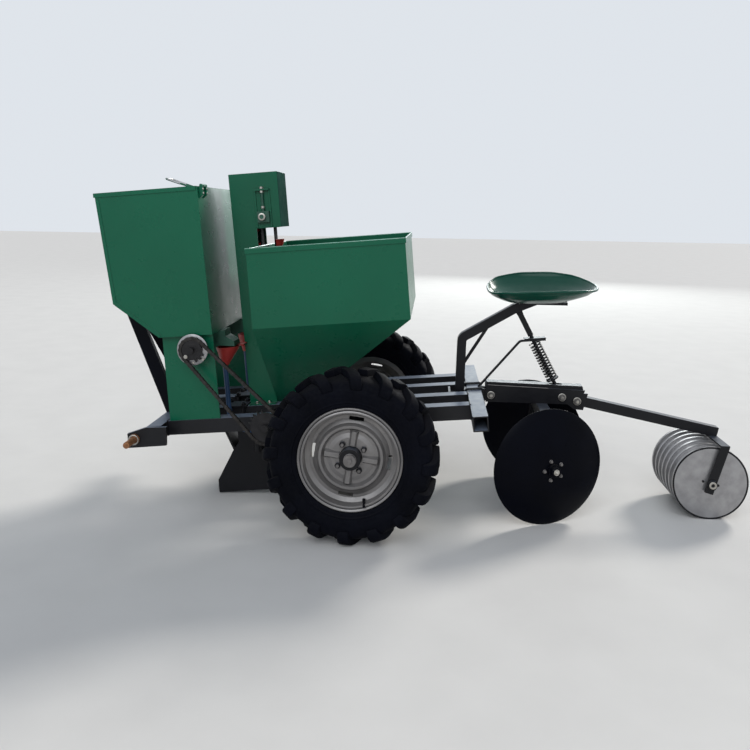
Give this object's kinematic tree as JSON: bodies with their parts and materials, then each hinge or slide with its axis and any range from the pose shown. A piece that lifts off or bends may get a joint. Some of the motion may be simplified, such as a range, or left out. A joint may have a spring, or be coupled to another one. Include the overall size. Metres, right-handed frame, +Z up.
{
  "type": "potato planter",
  "caption": "Single-row tractor-mounted potato planter with cup elevator, fertiliser hopper, hilling discs, press roller and operator's seat.",
  "frame": {"origin": "on the ground below the middle of the whole machine, half way across", "axes": "+X to the rear, +Y to the far side as the picture shows it, +Z up"},
  "size_m": [2.3152, 0.994, 1.2105],
  "materials": {
    "black_paint": "gloss black enamel",
    "green_paint": "gloss mid green enamel",
    "bright_steel": "zinc plated",
    "chain_steel": "oiled dark steel",
    "red_plastic": "moulded red plastic",
    "blue_hose": "blue hose",
    "meter_casting": "dark painted casting",
    "rim_silver": "silver paint",
    "tyre_rubber": "black rubber",
    "blade_paint": "dark gloss paint",
    "galvanised": "galvanised sheet"
  },
  "bodies": {
    "chassis": {"frame_rails": "black_paint", "front_beam": "black_paint", "rear_beam": "black_paint", "hitch_plates": "black_paint", "hitch_pins": "bright_steel", "mast": "black_paint", "axle": "bright_steel", "axle_blocks": "black_paint", "fertiliser_hopper": "green_paint", "lid_hinges": "green_paint", "fertiliser_panels": "green_paint", "fertiliser_meters": "meter_casting", "fertiliser_funnels": "red_plastic", "fertiliser_hoses": "blue_hose", "meter_shaft": "bright_steel", "jackshaft": "bright_steel", "drive_chain": "chain_steel", "drive_sprockets": "bright_steel", "ground_chain": "chain_steel", "ground_sprockets": "bright_steel", "seed_hopper": "green_paint", "elevator_tower": "green_paint", "seed_boot": "green_paint", "cup_chain": "red_plastic", "elevator_shafts": "bright_steel", "opener": "black_paint", "seat_post": "black_paint", "post_clamp": "black_paint", "seat_plate": "black_paint", "seat_pan": "green_paint", "gang_bracket": "black_paint", "gang_frame": "black_paint", "gang_pins": "bright_steel", "disc_carrier": "black_paint", "spring_rod": "bright_steel", "spring": "black_paint", "rod_guide": "black_paint"},
    "wheel_near": {"tyre_near": "tyre_rubber", "rim_near": "rim_silver", "hub_near": "black_paint"},
    "wheel_far": {"tyre_far": "tyre_rubber", "rim_far": "rim_silver", "hub_far": "black_paint"},
    "lid": {"lid": "green_paint"},
    "disc_near": {"disc_near": "blade_paint"},
    "disc_far": {"disc_far": "blade_paint"},
    "roller_arm": {"roller_arm": "black_paint"},
    "roller": {"roller": "galvanised"}
  },
  "joints": [
    {"name": "wheel_near_spin", "type": "hinge", "parent": "chassis", "child": "wheel_near", "pos_m": [-0.21741, -0.422, 0.285], "axis": [0, 1, 0], "continuous": true},
    {"name": "wheel_far_spin", "type": "hinge", "parent": "chassis", "child": "wheel_far", "pos_m": [-0.21741, 0.422, 0.285], "axis": [0, 1, 0], "continuous": true},
    {"name": "lid_hinge", "type": "hinge", "parent": "chassis", "child": "lid", "pos_m": [-0.76186, 0, 1.14984], "axis": [0, 1, 0], "range_deg": [0, 105]},
    {"name": "disc_near_spin", "type": "hinge", "parent": "chassis", "child": "disc_near", "pos_m": [0.44259, -0.23, 0.203], "axis": [0.342, -0.9397, 0], "continuous": true},
    {"name": "disc_far_spin", "type": "hinge", "parent": "chassis", "child": "disc_far", "pos_m": [0.44259, 0.23, 0.203], "axis": [0.342, 0.9397, 0], "continuous": true},
    {"name": "roller_arm_pivot", "type": "hinge", "parent": "chassis", "child": "roller_arm", "pos_m": [0.5703, 0, 0.38773], "axis": [0, 1, 0], "range_deg": [-25, 8]},
    {"name": "roller_spin", "type": "hinge", "parent": "roller_arm", "child": "roller", "pos_m": [1.02659, 0, 0.131], "axis": [0, 1, 0], "continuous": true}
  ]
}
